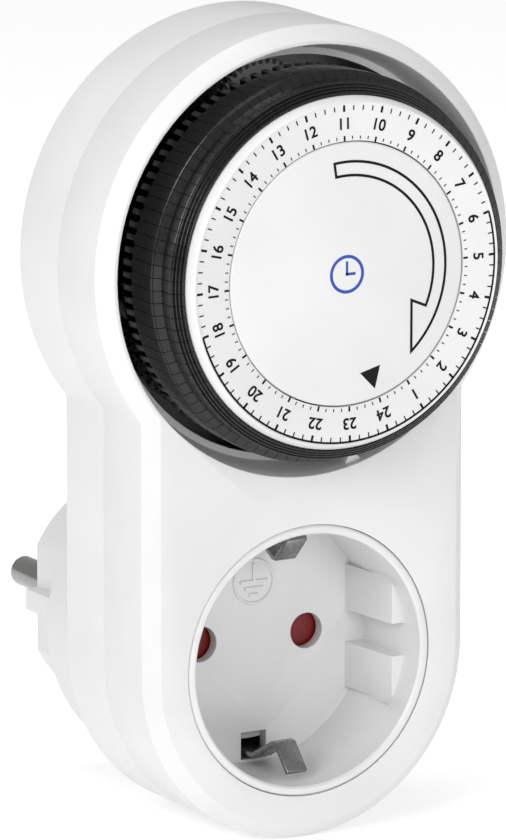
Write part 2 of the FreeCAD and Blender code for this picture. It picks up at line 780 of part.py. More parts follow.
def shutter():
    """Two-winged safety shutter that covers both pin holes at rest."""
    body = new_body("shutter")
    turned(body, "hub", [
        ("shutter_bore", "shutter_well_front"), ("shutter_spring_well", "shutter_well_front"),
        ("shutter_spring_well", "shutter_back"), ("shutter_hub", "shutter_back"),
        ("shutter_hub", "shutter_front"), ("shutter_bore", "shutter_front")])
    reach = "shutter_radius"
    rise = f"{reach} * tan(shutter_half_angle * 1 deg)"
    root = "(shutter_hub - 0.3)"
    for side, sign in (("left", "-"), ("right", "")):
        sketch = new_sketch(body, f"{side}_wing_sketch", "XZ_Plane", "shutter_back")
        draw_polygon(sketch, [
            (f"{sign}{root}", "-wing_root_half"), (f"{sign}{reach}", f"-{rise}"),
            (f"{sign}{reach}", rise), (f"{sign}{root}", "wing_root_half")])
        extrude(body, f"{side}_wing", sketch, "shutter_front - shutter_back")
    return body


def shutter_retainer():
    """Disc behind the shutter, with a rim that spaces it from the socket's floor."""
    body = new_body("shutter_retainer")
    turned(body, "disc", [
        ("pivot_radius + 0.1", "retainer_back"), ("retainer_radius", "retainer_back"),
        ("retainer_radius", "socket_underside"), ("retainer_rim", "socket_underside"),
        ("retainer_rim", "retainer_front"), ("pivot_radius + 0.1", "retainer_front")])
    for side, sign in (("left", "-"), ("right", "")):
        prism(body, f"{side}_hole", "retainer_back", "retainer_front", draw_circle,
              f"{sign}pin_offset", "0", "retainer_hole", kind="Pocket")
    return body


def coil_ring(name, major, minor):
    """One closed turn that stands in for a small torsion spring."""
    item = primitive("Torus", name, Radius1=major, Radius2=minor)
    item.Label = name
    return item


def shutter_spring():
    """Torsion spring round the shutter's pivot."""
    item = coil_ring("shutter_spring", "pivot_spring_radius", "pivot_spring_wire")
    item.Placement.Rotation = FreeCAD.Rotation(FreeCAD.Vector(1, 0, 0), 90)
    bind(item, Placement__Base__y="-pivot_spring_depth")
    return item


# ---------------------------------------------------------------- mechanism

def mechanism_plate():
    """Round plate that carries the dial's post, the wheel's axle and the motor."""
    body = new_body("mechanism_plate", on_dial_axis=True)
    tube(body, "disc", "plate_back", "plate_front", "plate_radius", "post_stub")
    holes = (("motor_hole", "-motor_left", "motor_rise", "shaft_hole"),
             ("axle_hole", "0", f"{WHEEL_CENTRE}", "axle_radius"),
             ("left_screw_hole", "-standoff_across", "-standoff_drop", "plate_screw_hole"),
             ("right_screw_hole", "standoff_across", "-standoff_drop", "plate_screw_hole"),
             ("top_screw_hole", "standoff_right", "standoff_rise", "plate_screw_hole"))
    for name, across, up, radius in holes:
        prism(body, name, "plate_back", "plate_front", draw_circle, across, up, radius,
              kind="Pocket")
    return body


def plate_screws():
    """Three short screws through the mechanism plate."""
    screws = []
    spots = (("left", "-standoff_across", "dial_height - standoff_drop"),
             ("right", "standoff_across", "dial_height - standoff_drop"),
             ("top", "standoff_right", "dial_height + standoff_rise"))
    for side, across, up in spots:
        head = rod(f"{side}_plate_screw_head", across, up, "plate_front",
                   "plate_front + plate_screw_height", "plate_screw_head")
        shank = rod(f"{side}_plate_screw_shank", across, up, "plate_back", "plate_front + 0.2",
                    "plate_screw_shank")
        screw = doc.addObject("Part::MultiFuse", f"{side}_plate_screw")
        screw.Shapes = [head, shank]
        screws.append(screw)
    return gather("plate_screws", screws)


def dial_post():
    """Fixed post that the dial turns on and that holds the centre cap still."""
    body = new_body("dial_post", on_dial_axis=True)
    stub = "post_stub - 0.05"
    turned(body, "post", [
        ("0", "plate_back"), (stub, "plate_back"), (stub, "plate_front"),
        ("post_flange", "plate_front"), ("post_flange", "post_flange_front"),
        ("post_radius", "post_flange_front"), ("post_radius", "post_front"),
        (stub, "post_front"), (stub, "post_stub_front"), ("0", "post_stub_front")])
    return body


def motor_case():
    """Shallow steel cup of the synchronous motor."""
    body = new_body("motor_case", on_dial_axis=True)
    move_to_motor(body)
    turned(body, "cup", [
        ("0", "motor_back"), ("motor_radius", "motor_back"), ("motor_radius", "motor_front"),
        ("motor_radius - motor_skin", "motor_front"),
        ("motor_radius - motor_skin", "motor_back + motor_skin"),
        ("0", "motor_back + motor_skin")])
    return body


def move_to_motor(item):
    """Put an object on the motor's axis."""
    item.Placement.Base = FreeCAD.Vector(-size("motor_left"), 0,
                                         size("dial_height + motor_rise"))
    bind(item, Placement__Base__x="-motor_left", Placement__Base__z="dial_height + motor_rise")


def motor_end_plate():
    """Front plate of the motor with the shaft's bearing hole."""
    body = new_body("motor_end_plate")
    move_to_motor(body)
    tube(body, "disc", "motor_front", "plate_back", "motor_radius", "shaft_radius + 0.05")
    return body


def motor_coil():
    """Ring-shaped coil inside the motor."""
    body = new_body("motor_coil")
    move_to_motor(body)
    tube(body, "ring", "coil_back", "coil_front", "coil_outer", "coil_inner")
    return body


def motor_rotor():
    """Rotor, shaft and output pinion."""
    line = math.degrees(math.atan2(size(WHEEL_CENTRE) - size("motor_rise"), size("motor_left")))
    half_pitch = 180.0 / size("motor_pinion_teeth")
    pinion = gear_solid(int(size("motor_pinion_teeth")), size("wheel_back"),
                        size("shaft_front"), 0, line + half_pitch)
    axis = FreeCAD.Vector(0, 1, 0)
    shaft = Part.makeCylinder(size("shaft_radius"), size("shaft_front - shaft_back"),
                              FreeCAD.Vector(0, -size("shaft_front"), 0), axis)
    rotor = Part.makeCylinder(size("rotor_radius"), size("rotor_front - rotor_back"),
                              FreeCAD.Vector(0, -size("rotor_front"), 0), axis)
    item = shaped("motor_rotor", pinion.fuse([shaft, rotor]).removeSplitter())
    move_to_motor(item)
    return item


def reduction_wheel():
    """Wheel driven by the motor, with the pinion that drives the dial's gear."""
    line = math.degrees(math.atan2(size(WHEEL_CENTRE) - size("motor_rise"), size("motor_left")))
    bore = size("axle_radius + axle_fit")
    wheel = gear_solid(int(size("wheel_teeth")), size("wheel_back"), size("wheel_front"),
                       bore, line + 180.0)
    pinion = gear_solid(int(size("wheel_pinion_teeth")), size("wheel_front"),
                        size("wheel_pinion_front"), bore, -90.0)
    item = shaped("reduction_wheel", wheel.fuse(pinion).removeSplitter())
    place_on_axis(item, True)
    bind(item, Placement__Base__z=f"dial_height + {WHEEL_CENTRE}")
    return item


def wheel_axle():
    """Fixed axle of the reduction wheel."""
    item = rod("wheel_axle", "0", f"dial_height + {WHEEL_CENTRE}", "plate_back", "axle_front",
               "axle_radius")
    item.Label = "wheel_axle"
    return item


# ---------------------------------------------------------------- dial

def dial_gear():
    """Large gear pressed on the carrier's hub."""
    gear = gear_solid(int(size("dial_gear_teeth")), size("hub_back"), size("gear_seat_front"),
                      size("gear_seat"), 0.0)
    item = shaped("dial_gear", gear)
    place_on_axis(item, True)
    return item


def dial_carrier():
    """Drum that turns on the post, slotted for 96 trippers."""
    body = new_body("dial_carrier", on_dial_axis=True, turn=90.0 - size("index_angle"))
    turned(body, "drum", [
        ("hub_bore", "hub_back"), ("hub_bore", "hub_front"), ("hub_radius + 1", "hub_front"),
        ("hub_radius + 1", "carrier_front"), ("carrier_radius", "carrier_front"),
        ("carrier_radius", "carrier_back"), ("carrier_inner", "carrier_back"),
        ("carrier_inner", "carrier_web"), ("hub_radius", "carrier_web"),
        ("hub_radius", "gear_seat_front"), ("gear_seat", "gear_seat_front"),
        ("gear_seat", "hub_back")])
    doc.recompute()
    prism(body, "slot", "carrier_back", "carrier_front", draw_box,
          "slot_floor", "carrier_radius + 1", "-slot_width / 2", "slot_width / 2", kind="Pocket")
    polar(body, "slots", [body.Tip], 360, round(360 / size("tripper_pitch")))
    return body


def scale_ring():
    """Printed hour ring with a raised outer rim."""
    body = new_body("scale_ring", on_dial_axis=True)
    turned(body, "ring", [
        ("ring_inner", "carrier_front"), ("ring_outer", "carrier_front"),
        ("ring_outer", "ring_edge"), ("ring_outer - 0.75", "ring_rim"),
        ("ring_land", "ring_rim"), ("ring_groove", "dial_face"), ("ring_inner", "dial_face")])
    return body


def centre_cap():
    """Fixed centre cap that carries the time pointer."""
    body = new_body("centre_cap", on_dial_axis=True)
    turned(body, "cap", [
        ("0", "cap_bore_front"), ("post_stub", "cap_bore_front"), ("post_stub", "post_front"),
        ("cap_boss", "post_front"), ("cap_boss", "cap_back"), ("cap_radius", "cap_back"),
        ("cap_radius", "dial_face - 0.2"), ("cap_radius - 0.2", "dial_face"),
        ("0", "dial_face")])
    return body


def tripper_hour(hour):
    """The four quarter-hour trippers of one hour, as four separate solids."""
    middle_of_last = size("index_angle") + 15.0 * (hour - 23)
    body = new_body(f"tripper_hour_{hour:02d}", on_dial_axis=True, turn=90.0 - middle_of_last)
    pitch = size("tripper_pitch")
    shell = turned(body, "shell", [
        ("tripper_inner", "tripper_back"), ("tripper_inner", "tripper_crown"),
        ("tripper_neck", "tripper_neck_front"), ("tripper_neck", "tripper_neck_back"),
        ("tripper_skirt", "tripper_skirt_front"), ("tripper_skirt", "tripper_band_front"),
        ("tripper_band", "tripper_band_front"), ("tripper_band", "tripper_band_back"),
        ("tripper_skirt", "tripper_band_back"), ("tripper_skirt", "tripper_back")],
        angle=pitch - size("tripper_gap"), midplane=True)
    tail = prism(body, "tail", "tail_back", "tripper_back + 0.5", draw_box,
                 "tail_inner", "tail_outer", "-tail_width / 2", "tail_width / 2")
    tongue = prism(body, "tongue", "tripper_back + 0.3", "tongue_front", draw_box,
                   "tongue_inner", "tripper_inner + 0.3", "-tongue_width / 2", "tongue_width / 2")
    polar(body, "quarters", [shell, tail, tongue], 3 * pitch, 4)
    return body


# ---------------------------------------------------------------- switch and lever

def on_index_line(name):
    """Add a body in the frame of the dial axis whose -Z runs down the index line."""
    return new_body(name, on_dial_axis=True, turn=-size("index_angle"))


def microswitch_case():
    """Small switch case with a well for its plunger."""
    body = on_index_line("microswitch_case")
    prism(body, "case", "switch_back", "switch_front", draw_box,
          "-switch_half_length", "switch_half_length", "-switch_bottom", "-switch_top")
    prism(body, "well", "plunger_well", "switch_front", draw_box,
          "-plunger_half_width - plunger_fit", "plunger_half_width + plunger_fit",
          "-plunger_line - plunger_half_height - plunger_fit",
          "-plunger_line + plunger_half_height + plunger_fit", kind="Pocket")
    return body


def switch_terminals():
    """Three flat terminals behind the switch."""
    body = on_index_line("switch_terminals")
    for name, middle in (("left", "-terminal_spacing"), ("centre", "0"),
                         ("right", "terminal_spacing")):
        prism(body, f"{name}_terminal", "terminal_back", "switch_back", draw_box,
              f"{middle} - 1.6", f"{middle} + 1.6", "-plunger_line - 0.4", "-plunger_line + 0.4")
    return body


def switch_plunger():
    """The switch's plunger."""
    body = on_index_line("switch_plunger")
    prism(body, "plunger", "plunger_back", "plunger_front", draw_box,
          "-plunger_half_width", "plunger_half_width",
          "-plunger_line - plunger_half_height", "-plunger_line + plunger_half_height")
    return body


def follower_lever():
    """Lever whose finger follows the tripper on the index line and presses the switch."""
    body = on_index_line("follower_lever")
    half = "lever_width / 2"
    sketch = new_sketch(body, "eye_sketch", "YZ_Plane", f"-{half}")
    draw_circle(sketch, "-lever_pivot_depth", "-lever_pivot", "lever_eye")
    extrude(body, "eye", sketch, "lever_width")
    prism(body, "arm", "lever_back", "lever_front", draw_box,
          f"-{half}", half, "-lever_pivot", "-tail_inner")
    prism(body, "finger", "lever_back", "finger_front", draw_box,
          "-finger_width / 2", "finger_width / 2", "-tail_outer", "-tail_inner")
    bore = new_sketch(body, "bore_sketch", "YZ_Plane", half)
    draw_circle(bore, "-lever_pivot_depth", "-lever_pivot", "lever_bore")
    extrude(body, "bore", bore, "lever_width", "Pocket")
    return body


def lever_bracket():
    """Moulded block that backs the switch, with two ears for the lever's pin."""
    body = on_index_line("lever_bracket")
    prism(body, "base", "bracket_back", "bracket_front", draw_box,
          "-bracket_left", "bracket_right", "-bracket_bottom", "-bracket_top")
    for side, near, far in (("left", "-ear_outer", "-ear_inner"),
                            ("right", "ear_inner", "ear_outer")):
        prism(body, f"{side}_ear", "bracket_front - 0.5", "ear_front", draw_box,
              near, far, "-bracket_bottom", "-bracket_top")
    bore = new_sketch(body, "bore_sketch", "YZ_Plane", "ear_outer + 0.1")
    draw_circle(bore, "-lever_pivot_depth", "-lever_pivot", "lever_pin")
    extrude(body, "bore", bore, "ear_outer * 2 + 0.2", "Pocket")
    return body


def lever_pin():
    """Pin that the lever turns on."""
    body = on_index_line("lever_pin")
    sketch = new_sketch(body, "pin_sketch", "YZ_Plane", "-lever_pin_half_length")
    draw_circle(sketch, "-lever_pivot_depth", "-lever_pivot", "lever_pin")
    extrude(body, "pin", sketch, "lever_pin_half_length * 2")
    return body


def lever_spring():
    """Torsion spring beside the lever's eye."""
    middle = FreeCAD.Vector(size("return_spring_across"), -size("lever_pivot_depth"),
                            -size("lever_pivot"))
    ring = Part.makeTorus(size("return_spring_radius"), size("return_spring_wire"), middle,
                          FreeCAD.Vector(1, 0, 0))
    item = shaped("lever_spring", ring)
    place_on_axis(item, True, -size("index_angle"))
    return item


# ---------------------------------------------------------------- assembly

for build in (front_cover, rear_cover, housing_screws, socket_insert, shutter,
              shutter_retainer, shutter_spring, earth_strap, plug_earth_contact,
              switched_busbar, mechanism_plate, plate_screws, dial_post, motor_case,
              motor_end_plate, motor_coil, motor_rotor, reduction_wheel, wheel_axle,
              dial_gear, dial_carrier, scale_ring, centre_cap, microswitch_case,
              switch_terminals, switch_plunger, follower_lever, lever_bracket, lever_pin,
              lever_spring):
    node(build())
node(plug_pin("neutral_plug_pin", "-"))
node(plug_pin("line_plug_pin", ""))
node(socket_contact("neutral_socket_contact", "-"))
node(socket_contact("line_socket_contact", ""))
node(busbar("neutral_busbar", "-", "neutral_riser", "neutral_riser_front", None))
node(busbar("line_busbar", "", "line_riser", "line_riser_front", "line_reach"))
for hour in range(1, 25):
    node(tripper_hour(hour))

doc.recompute()
failed = [item.Name for item in doc.Objects if {"Invalid", "Error"} & set(item.State)]
if failed:
    raise RuntimeError(f"features failed: {failed}")
os.makedirs("parts", exist_ok=True)
for item in NODES:
    shape = item.Shape
    if shape.isNull() or not shape.isValid():
        raise RuntimeError(f"{item.Label} has no valid shape")
    shape.exportStep(f"parts/{item.Label}.step")
    print(item.Label, len(shape.Solids), round(shape.Volume, 1))
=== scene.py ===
"""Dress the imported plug-in socket timer: soft-edged shells, trippers, printing, metal and light."""
import logging
import math
from dataclasses import dataclass
from enum import Enum

import bpy
from mathutils import Matrix, Vector


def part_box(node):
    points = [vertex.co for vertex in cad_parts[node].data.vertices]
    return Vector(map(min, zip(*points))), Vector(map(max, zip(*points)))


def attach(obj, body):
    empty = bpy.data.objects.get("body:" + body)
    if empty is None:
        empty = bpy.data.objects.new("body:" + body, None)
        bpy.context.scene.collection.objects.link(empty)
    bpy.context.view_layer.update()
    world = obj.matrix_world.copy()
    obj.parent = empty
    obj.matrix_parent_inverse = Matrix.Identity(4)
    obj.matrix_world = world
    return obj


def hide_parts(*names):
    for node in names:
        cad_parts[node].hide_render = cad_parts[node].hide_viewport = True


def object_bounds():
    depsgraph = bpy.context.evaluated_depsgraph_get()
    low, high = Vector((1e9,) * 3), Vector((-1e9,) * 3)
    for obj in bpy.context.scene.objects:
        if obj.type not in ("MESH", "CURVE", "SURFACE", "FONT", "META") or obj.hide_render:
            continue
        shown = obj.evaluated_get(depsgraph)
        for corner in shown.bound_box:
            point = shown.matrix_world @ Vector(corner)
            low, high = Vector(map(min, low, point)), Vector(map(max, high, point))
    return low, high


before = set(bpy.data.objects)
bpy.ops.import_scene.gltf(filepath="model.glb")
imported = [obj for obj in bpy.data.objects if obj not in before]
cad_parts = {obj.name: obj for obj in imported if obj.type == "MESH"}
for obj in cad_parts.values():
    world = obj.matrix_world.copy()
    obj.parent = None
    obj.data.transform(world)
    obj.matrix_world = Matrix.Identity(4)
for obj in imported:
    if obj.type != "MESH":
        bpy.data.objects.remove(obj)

LOG = logging.getLogger("timer")
MM = 0.001
CAD_BOX = [list(corner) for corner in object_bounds()]


def middle_of(node: str) -> Vector:
    """Give the middle of a CAD node's box.

    Args:
        node: the node's name.

    Returns:
        The middle point, in metres.
    """
    low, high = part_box(node)
    return (low + high) / 2


AXIS_Z = middle_of("centre_cap").z
SOCKET_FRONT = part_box("socket_insert")[0].y
DIAL_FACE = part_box("centre_cap")[0].y
INDEX_ANGLE = 14.375
QUARTER = 3.75
MERGE_DISTANCE = 2e-6
FLAT_ANGLE = math.radians(0.4)
SMOOTH_ANGLE = math.radians(35)


class Colour(Enum):
    """Base colours of the timer's materials."""

    CASE_WHITE = (0.63, 0.63, 0.635)
    DIAL_WHITE = (0.63, 0.63, 0.63)
    TRIPPER_BLACK = (0.006, 0.006, 0.0065)
    SHUTTER_RED = (0.16, 0.001, 0.003)
    INK_BLACK = (0.004, 0.004, 0.004)
    INK_BLUE = (0.01, 0.05, 0.32)
    NICKEL = (0.30, 0.295, 0.29)
    STRIP = (0.27, 0.27, 0.265)
    BRASS = (0.72, 0.50, 0.20)
    COPPER = (0.62, 0.26, 0.12)
    ACETAL = (0.78, 0.76, 0.70)
    GREY = (0.03, 0.031, 0.032)
    FLOOR = (0.93, 0.93, 0.93)


# ---------------------------------------------------------------- finishes

@dataclass(frozen=True)
class Finish:
    """A procedural finish: grain in the surface, patches in colour and in gloss."""

    name: str
    colour: Colour
    roughness: float = 0.4
    metallic: float = 0.0
    grain: float = 2500.0
    grain_depth: float = 0.02
    patch: float = 60.0
    colour_spread: float = 0.03
    gloss_spread: float = 0.06
    brushed: bool = False
    shine: float = 0.5
    glow: float = 0.0

    def material(self) -> bpy.types.Material:
        """Build the material once and give it back on later calls.

        Returns:
            The node material.
        """
        found = bpy.data.materials.get(self.name)
        if found:
            return found
        made = bpy.data.materials.new(self.name)
        made.use_nodes = True
        tree = made.node_tree
        shader = tree.nodes["Principled BSDF"]
        shader.inputs["Metallic"].default_value = self.metallic
        shader.inputs["Specular IOR Level"].default_value = self.shine
        shader.inputs["Emission Color"].default_value = (1, 1, 1, 1)
        shader.inputs["Emission Strength"].default_value = self.glow
        place = tree.nodes.new("ShaderNodeTexCoord")
        mapping = tree.nodes.new("ShaderNodeMapping")
        stretch = (1.0, 0.06, 1.0) if self.brushed else (1.0, 1.0, 1.0)
        mapping.inputs["Scale"].default_value = stretch
        tree.links.new(place.outputs["Object"], mapping.inputs["Vector"])
        patches = self._noise(tree, mapping, self.patch, 3.0)
        grain = self._noise(tree, mapping, self.grain, 4.0)
        self._paint(tree, shader, patches)
        self._gloss(tree, shader, grain)
        bump = tree.nodes.new("ShaderNodeBump")
        bump.inputs["Strength"].default_value = 0.35
        bump.inputs["Distance"].default_value = self.grain_depth * MM
        tree.links.new(grain.outputs["Fac"], bump.inputs["Height"])
        tree.links.new(bump.outputs["Normal"], shader.inputs["Normal"])
        return made

    def _noise(self, tree: bpy.types.NodeTree, mapping: bpy.types.Node, scale: float,
               detail: float) -> bpy.types.Node:
        """Add one noise texture.

        Args:
            tree: the material's node tree.
            mapping: the node that gives the coordinates.
            scale: cells to a metre.
            detail: octaves.

        Returns:
            The texture node.
        """
        noise = tree.nodes.new("ShaderNodeTexNoise")
        noise.inputs["Scale"].default_value = scale
        noise.inputs["Detail"].default_value = detail
        tree.links.new(mapping.outputs["Vector"], noise.inputs["Vector"])
        return noise

    def _paint(self, tree: bpy.types.NodeTree, shader: bpy.types.Node,
               patches: bpy.types.Node) -> None:
        """Vary the base colour a little from patch to patch.

        Args:
            tree: the material's node tree.
            shader: the surface shader.
            patches: the coarse noise.
        """
        ramp = tree.nodes.new("ShaderNodeValToRGB")
        dark = [channel * (1 - self.colour_spread) for channel in self.colour.value]
        light = [min(channel * (1 + self.colour_spread), 1.0) for channel in self.colour.value]
        ramp.color_ramp.elements[0].position = 0.3
        ramp.color_ramp.elements[0].color = (*dark, 1)
        ramp.color_ramp.elements[1].position = 0.7
        ramp.color_ramp.elements[1].color = (*light, 1)
        tree.links.new(patches.outputs["Fac"], ramp.inputs["Fac"])
        tree.links.new(ramp.outputs["Color"], shader.inputs["Base Color"])

    def _gloss(self, tree: bpy.types.NodeTree, shader: bpy.types.Node,
               grain: bpy.types.Node) -> None:
        """Vary the roughness with the grain.

        Args:
            tree: the material's node tree.
            shader: the surface shader.
            grain: the fine noise.
        """
        spread = tree.nodes.new("ShaderNodeMapRange")
        spread.inputs["From Min"].default_value = 0.3
        spread.inputs["From Max"].default_value = 0.7
        spread.inputs["To Min"].default_value = max(self.roughness - self.gloss_spread, 0.02)
        spread.inputs["To Max"].default_value = self.roughness + self.gloss_spread
        tree.links.new(grain.outputs["Fac"], spread.inputs["Value"])
        tree.links.new(spread.outputs["Result"], shader.inputs["Roughness"])


CASE = Finish("case_plastic", Colour.CASE_WHITE, roughness=0.42, grain=2200, grain_depth=0.03)
INSERT = Finish("insert_plastic", Colour.CASE_WHITE, roughness=0.32, grain=2600,
                grain_depth=0.004, gloss_spread=0.03)
DIAL = Finish("dial_plastic", Colour.DIAL_WHITE, roughness=0.45, grain=3000, grain_depth=0.02)
TRIPPER = Finish("tripper_plastic", Colour.TRIPPER_BLACK, roughness=0.19, grain=1400,
                 grain_depth=0.02, colour_spread=0.25, gloss_spread=0.07, shine=0.42)
RED = Finish("shutter_plastic", Colour.SHUTTER_RED, roughness=0.35, colour_spread=0.1)
INK = Finish("dial_ink", Colour.INK_BLACK, roughness=0.5, colour_spread=0.15, shine=0.15)
BLUE_INK = Finish("blue_ink", Colour.INK_BLUE, roughness=0.45, colour_spread=0.1)
PIN_METAL = Finish("pin_nickel", Colour.NICKEL, roughness=0.22, metallic=1.0, grain=900,
                   grain_depth=0.006)
STRIP_METAL = Finish("clip_metal", Colour.STRIP, roughness=0.28, metallic=1.0, grain=1500,
                     grain_depth=0.012, brushed=True, gloss_spread=0.10)
BRASS = Finish("contact_brass", Colour.BRASS, roughness=0.3, metallic=1.0, brushed=True)
COPPER = Finish("coil_copper", Colour.COPPER, roughness=0.35, metallic=1.0)
ACETAL = Finish("gear_acetal", Colour.ACETAL, roughness=0.4)
GREY = Finish("grey_moulding", Colour.GREY, roughness=0.45)
FLOOR = Finish("floor_paper", Colour.FLOOR, roughness=0.75, grain=400, colour_spread=0.005,
               glow=0.34)


# ---------------------------------------------------------------- modelling helpers

def pick(piece: bpy.types.Object) -> None:
    """Make one object the only selected and the active one.

    Args:
        piece: the object.
    """
    if bpy.context.object and bpy.context.object.mode != "OBJECT":
        bpy.ops.object.mode_set(mode="OBJECT")
    bpy.ops.object.select_all(action="DESELECT")
    piece.select_set(True)
    bpy.context.view_layer.objects.active = piece


def settle(piece: bpy.types.Object, name: str) -> bpy.types.Object:
    """Name a piece and move its place into its mesh.

    Args:
        piece: the object.
        name: its name.

    Returns:
        The same object.
    """
    pick(piece)
    bpy.ops.object.transform_apply(location=True, rotation=True, scale=True)
    piece.name = name
    piece.data.name = name
    return piece


def modify(piece: bpy.types.Object, kind: str, **settings: object) -> None:
    """Add a modifier and apply it.

    Args:
        piece: the object.
        kind: the modifier's type.
        **settings: its properties.
    """
    pick(piece)
    modifier = piece.modifiers.new(kind.lower(), kind)
    for key, setting in settings.items():
        setattr(modifier, key, setting)
    bpy.ops.object.modifier_apply(modifier=modifier.name)


def soften(piece: bpy.types.Object, width: float, segments: int = 2,
           angle: float = 30.0) -> None:
    """Round a piece's sharp edges and smooth its faces.

    Args:
        piece: the object.
        width: how far the rounding reaches from an edge, in metres.
        segments: steps in the rounding.
        angle: sharpest turn left alone, in degrees.
    """
    modify(piece, "BEVEL", width=width, segments=segments, limit_method="ANGLE",
           angle_limit=math.radians(angle), miter_outer="MITER_ARC")
    pick(piece)
    bpy.ops.object.shade_smooth_by_angle(angle=SMOOTH_ANGLE)


def dress(piece: bpy.types.Object, finish: Finish, slot: str, body: str,
          *nodes: str) -> bpy.types.Object:
    """Give a piece its material and its body, and hide the CAD nodes it stands for.

    Args:
        piece: the object.
        finish: its finish.
        slot: the record's material slot; not used.
        body: the body it rides on.
        *nodes: CAD nodes that it replaces.

    Returns:
        The same object.
    """
    piece.data.materials.clear()
    piece.data.materials.append(finish.material())
    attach(piece, body)
    if nodes:
        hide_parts(*nodes)
    LOG.info("%s rides on %s", piece.name, body)
    return piece


def finished_copy(node: str, name: str, width: float, segments: int = 2) -> bpy.types.Object:
    """Merge a copy of a CAD node's mesh and round its edges.

    Args:
        node: the CAD node.
        name: the new piece's name.
        width: reach of the rounding, in metres.
        segments: steps in the rounding.

    Returns:
        The new piece.
    """
    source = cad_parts[node]
    piece = source.copy()
    piece.data = source.data.copy()
    for key in list(piece.keys()):
        del piece[key]
    piece.parent = None
    piece.matrix_world = Matrix.Identity(4)
    bpy.context.scene.collection.objects.link(piece)
    pick(piece)
    piece.name = name
    bpy.ops.object.mode_set(mode="EDIT")
    bpy.ops.mesh.select_all(action="SELECT")
    bpy.ops.mesh.remove_doubles(threshold=MERGE_DISTANCE)
    bpy.ops.mesh.dissolve_limited(angle_limit=FLAT_ANGLE)
    bpy.ops.object.mode_set(mode="OBJECT")
    soften(piece, width, segments)
    return piece


def outline_plate(points: list[Vector], name: str, thickness: float,
                  line: float = 0.0) -> bpy.types.Object:
    """Make a thin plate, or a ribbon along its edge, from a closed outline facing the room.

    Args:
        points: corners in order, in metres.
        name: the piece's name.
        thickness: how far it stands towards -Y, in metres.
        line: width of the ribbon, or 0 for a full plate.

    Returns:
        The piece.
    """
    bpy.ops.object.select_all(action="DESELECT")
    bpy.ops.mesh.primitive_circle_add(vertices=len(points), fill_type="NGON")
    piece = bpy.context.object
    for vertex, point in zip(piece.data.vertices, points):
        vertex.co = point
    settle(piece, name)
    bpy.ops.object.mode_set(mode="EDIT")
    bpy.ops.mesh.select_all(action="SELECT")
    bpy.ops.mesh.normals_make_consistent(inside=False)
    if line:
        bpy.ops.mesh.inset(thickness=line)
        bpy.ops.mesh.delete(type="FACE")
        bpy.ops.mesh.select_all(action="SELECT")
    bpy.ops.mesh.extrude_region_move(TRANSFORM_OT_translate={"value": (0, -thickness, 0)})
    bpy.ops.mesh.select_all(action="SELECT")
    bpy.ops.mesh.normals_make_consistent(inside=False)
    bpy.ops.object.mode_set(mode="OBJECT")
    return piece


def turned_copy(piece: bpy.types.Object, degrees: float) -> bpy.types.Object:
    """Copy a piece with its own mesh, turned about the dial's axis.

    Args:
        piece: the object to copy.
        degrees: the turn about +Y.

    Returns:
        The copy.
    """
    copy = piece.copy()
    copy.data = piece.data.copy()
    bpy.context.scene.collection.objects.link(copy)
    centre = Matrix.Translation((0, 0, AXIS_Z))
    copy.data.transform(centre @ Matrix.Rotation(math.radians(degrees), 4, "Y")
                        @ centre.inverted())
    return copy


def join(pieces: list[bpy.types.Object], name: str) -> bpy.types.Object:
    """Join pieces into one object.

    Args:
        pieces: the objects.
        name: the joined piece's name.

    Returns:
        The joined piece.
    """
    pick(pieces[0])
    for piece in pieces:
        piece.select_set(True)
    bpy.ops.object.join()
    joined = bpy.context.object
    joined.name = name
    joined.data.name = name
    return joined


def dial_point(radius: float, degrees: float, y: float) -> Vector:
    """Give a point on the dial, its angle counted from straight down towards +X.

    Args:
        radius: distance from the dial's axis, in metres.
        degrees: the angle.
        y: the point's Y.

    Returns:
        The point.
    """
    angle = math.radians(degrees)
    return Vector((radius * math.sin(angle), y, AXIS_Z - radius * math.cos(angle)))


def hour_angle(hour: float) -> float:
    """Give an hour's angle on the dial at rest, from straight down towards +X.

    Args:
        hour: the hour, with quarters as fractions.

    Returns:
        The angle, in degrees.
    """
    return INDEX_ANGLE - QUARTER / 2 - 3 * QUARTER + 15.0 * (hour - 23)


# ---------------------------------------------------------------- housing

@dataclass
class Housing:
    """The two shells, the socket insert and the plug."""

    shell_edge: float = 0.45 * MM
    insert_edge: float = 0.28 * MM
    pin_edge: float = 0.25 * MM
    clip_edge: float = 0.12 * MM

    def build(self) -> None:
        """Make every outer piece of the housing."""
        for node in ("front_cover", "rear_cover"):
            dress(finished_copy(node, f"{node}_shell", self.shell_edge, 3), CASE,
                  "white_case", "housing", node)
        dress(finished_copy("socket_insert", "socket_cup", self.insert_edge, 3), INSERT,
              "white_insert", "housing", "socket_insert")
        for node in ("earth_strap", "plug_earth_contact"):
            dress(finished_copy(node, f"{node}_bent", self.clip_edge), STRIP_METAL,
                  "nickel_strip", "housing", node)
        for node in ("line_plug_pin", "neutral_plug_pin"):
            dress(finished_copy(node, f"{node}_turned", self.pin_edge), PIN_METAL,
                  "nickel_pin", "housing", node)


@dataclass
class IndexMark:
    """The small moulded wedge at the bottom of the dial's recess."""

    tip: float = 31.6 * MM
    root: float = 33.6 * MM
    half_angle: float = 2.6
    back: float = 54.0 * MM
    thickness: float = 3.0 * MM
    edge: float = 0.15 * MM

    def build(self) -> None:
        """Model the wedge on the recess's wall."""
        points = [dial_point(self.tip, INDEX_ANGLE, -self.back),
                  dial_point(self.root, INDEX_ANGLE - self.half_angle, -self.back),
                  dial_point(self.root, INDEX_ANGLE + self.half_angle, -self.back)]
        wedge = outline_plate(points, "index_mark", self.thickness)
        soften(wedge, self.edge)
        dress(wedge, CASE, "white_case", "housing")


